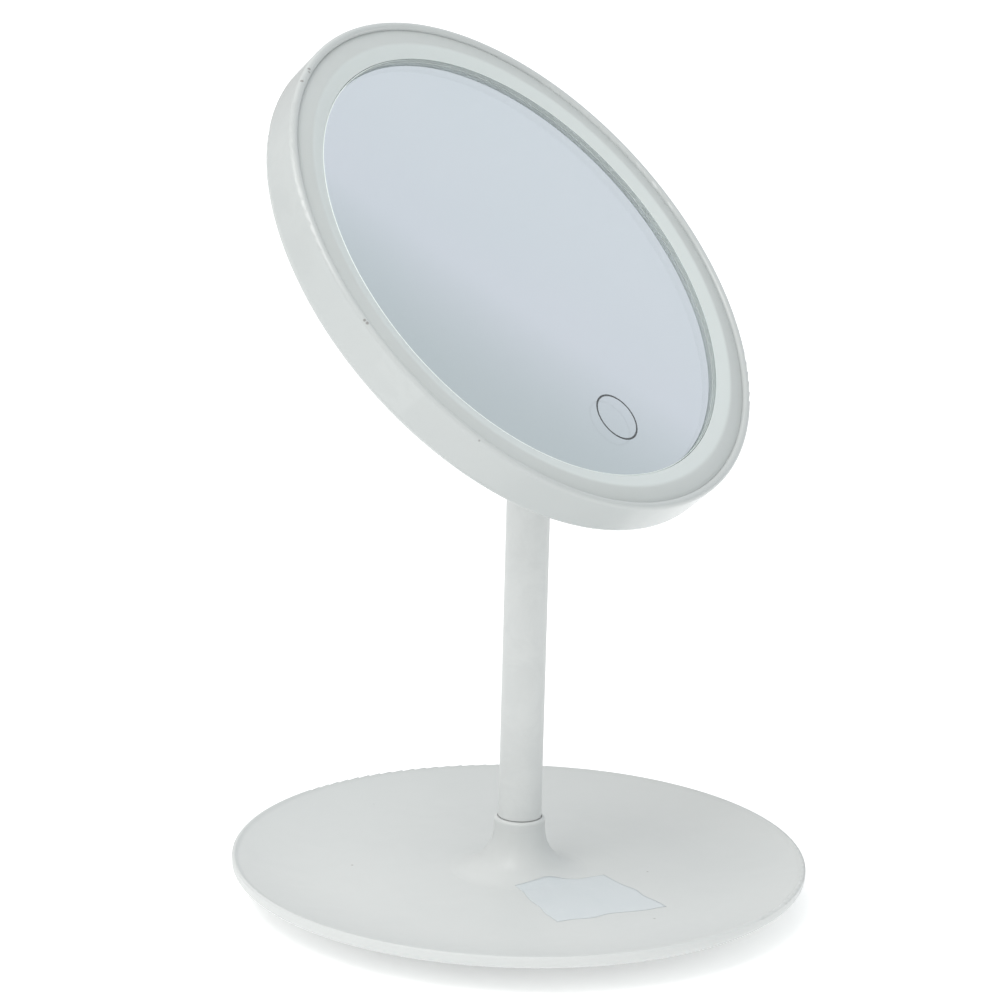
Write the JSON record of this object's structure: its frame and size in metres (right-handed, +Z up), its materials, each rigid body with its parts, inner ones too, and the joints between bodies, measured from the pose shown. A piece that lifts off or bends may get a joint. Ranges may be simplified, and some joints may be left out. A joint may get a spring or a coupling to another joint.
{
  "type": "lighted vanity mirror",
  "caption": "Round tilting mirror head with a frosted light ring, on a tube stem that turns in a shallow round tray base.",
  "frame": {"origin": "on the table, under the middle of the base", "axes": "+Z up; the mirror faces -Y and leans back towards +Y; +X is the viewer's right when facing the glass"},
  "size_m": [0.19, 0.19, 0.2825],
  "materials": {
    "white_plastic": "satin moulded plastic",
    "shell_plastic": "satin moulded plastic",
    "diffuser": "frosted translucent plastic",
    "glass": "clear float glass with ground edge",
    "silver": "silver coat",
    "steel": "zinc plated",
    "ballast": "rolled plate",
    "foam_tape": "closed-cell foam tape",
    "carrier_plastic": "moulded plastic",
    "board": "solder-masked laminate",
    "led": "phosphor in a white case",
    "chip": "moulded epoxy",
    "connector": "nylon",
    "copper": "plated copper",
    "cell": "laminated pouch foil",
    "red_wire": "wire sleeve",
    "black_wire": "wire sleeve",
    "rubber": "pale silicone",
    "film": "thin clear film",
    "nylon": "slippery nylon",
    "lens": "translucent plastic",
    "brass_insert": "knurled"
  },
  "bodies": {
    "base": {"base_tray": "white_plastic", "base_cover": "white_plastic", "base_weight": "ballast", "weight_tape": "foam_tape", "cover_screws": "steel", "rubber_feet": "rubber", "swivel_washer": "nylon", "tray_label": "film"},
    "stem": {"stem_tube": "white_plastic", "stem_head": "white_plastic", "stem_foot": "carrier_plastic", "foot_insert": "brass_insert", "stem_bolt": "steel", "retaining_washer": "steel"},
    "head": {"head_shell": "shell_plastic", "diffuser_ring": "diffuser", "mirror_glass": "glass", "mirror_silver": "silver", "mirror_tape": "foam_tape", "mirror_carrier": "carrier_plastic", "led_board": "board", "led_chips": "led", "touch_pad": "copper", "touch_spring": "copper", "control_board": "board", "board_components": "chip", "battery_connector": "connector", "led_connector": "connector", "usb_socket": "steel", "indicator_lens": "lens", "battery_cell": "cell", "battery_tape": "foam_tape", "battery_lead_red": "red_wire", "battery_lead_black": "black_wire", "led_lead_red": "red_wire", "led_lead_black": "black_wire", "board_screws": "steel", "shell_screws": "steel", "screw_plugs": "white_plastic", "hinge_bracket": "white_plastic", "bracket_screws": "steel", "hinge_pin": "steel", "hinge_nut": "steel", "hinge_washers": "nylon", "hinge_caps": "white_plastic"}
  },
  "joints": [
    {"name": "stem_swivel", "type": "hinge", "parent": "base", "child": "stem", "pos_m": [0, 0, 0.0261], "axis": [0, 0, 1], "continuous": true},
    {"name": "head_tilt", "type": "hinge", "parent": "stem", "child": "head", "pos_m": [0, 0, 0.1639], "axis": [-1, 0, 0], "range_deg": [-40.7, 49.3]}
  ]
}
